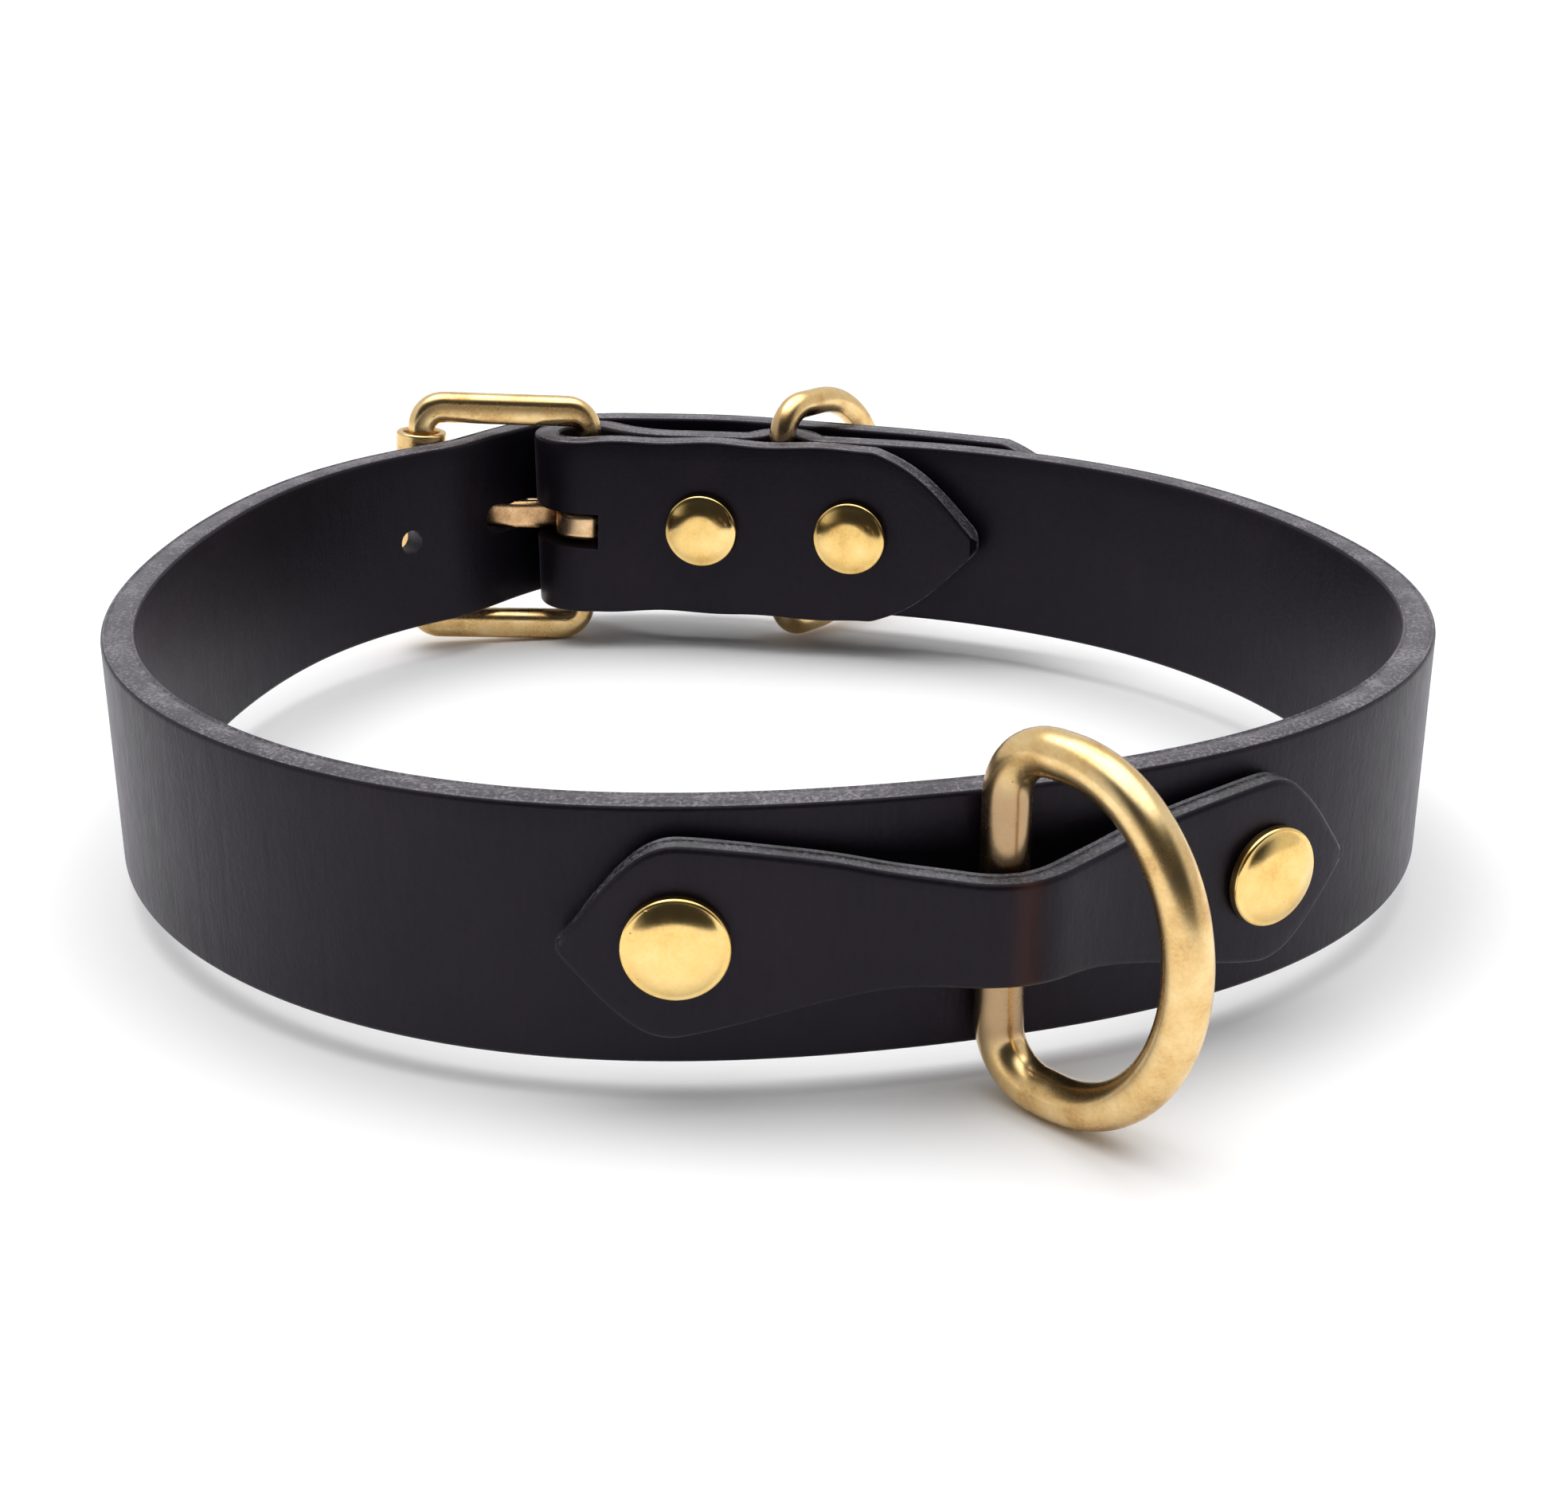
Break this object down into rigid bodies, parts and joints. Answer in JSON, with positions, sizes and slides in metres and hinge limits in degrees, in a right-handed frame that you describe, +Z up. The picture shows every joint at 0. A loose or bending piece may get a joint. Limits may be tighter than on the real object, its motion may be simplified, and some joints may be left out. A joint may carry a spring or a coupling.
{
  "type": "dog collar",
  "caption": "Buckled leather dog collar standing on its edge, with a roller buckle, a leash ring on a riveted tab and a smaller tag ring by the buckle.",
  "frame": {"origin": "middle of the overall box, on the surface that the collar stands on", "axes": "+Z up, -Y towards the front with the leash ring, +X to the wearer's left when the ring is under the chin; the buckle is towards +Y"},
  "size_m": [0.1164, 0.1318, 0.0296],
  "materials": {
    "black_leather": "satin",
    "brass": "polished, worn"
  },
  "bodies": {
    "root": {"strap": "black_leather", "ring_tab": "black_leather", "buckle_frame": "brass", "buckle_roller": "brass", "buckle_prong": "brass", "tab_rivet_left": "brass", "tab_rivet_right": "brass", "fold_rivet_near": "brass", "fold_rivet_far": "brass"},
    "leash_ring": {"front_ring": "brass"},
    "tag_ring": {"back_ring": "brass"}
  },
  "joints": [
    {"name": "leash_ring_swing", "type": "hinge", "parent": "root", "child": "leash_ring", "pos_m": [0.01682, -0.05248, 0.01459], "axis": [0, 0, 1], "range_deg": [-110, 54]},
    {"name": "tag_ring_swing", "type": "hinge", "parent": "root", "child": "tag_ring", "pos_m": [0.00122, 0.05185, 0.01488], "axis": [0, 0, 1], "range_deg": [-4, 50]}
  ]
}
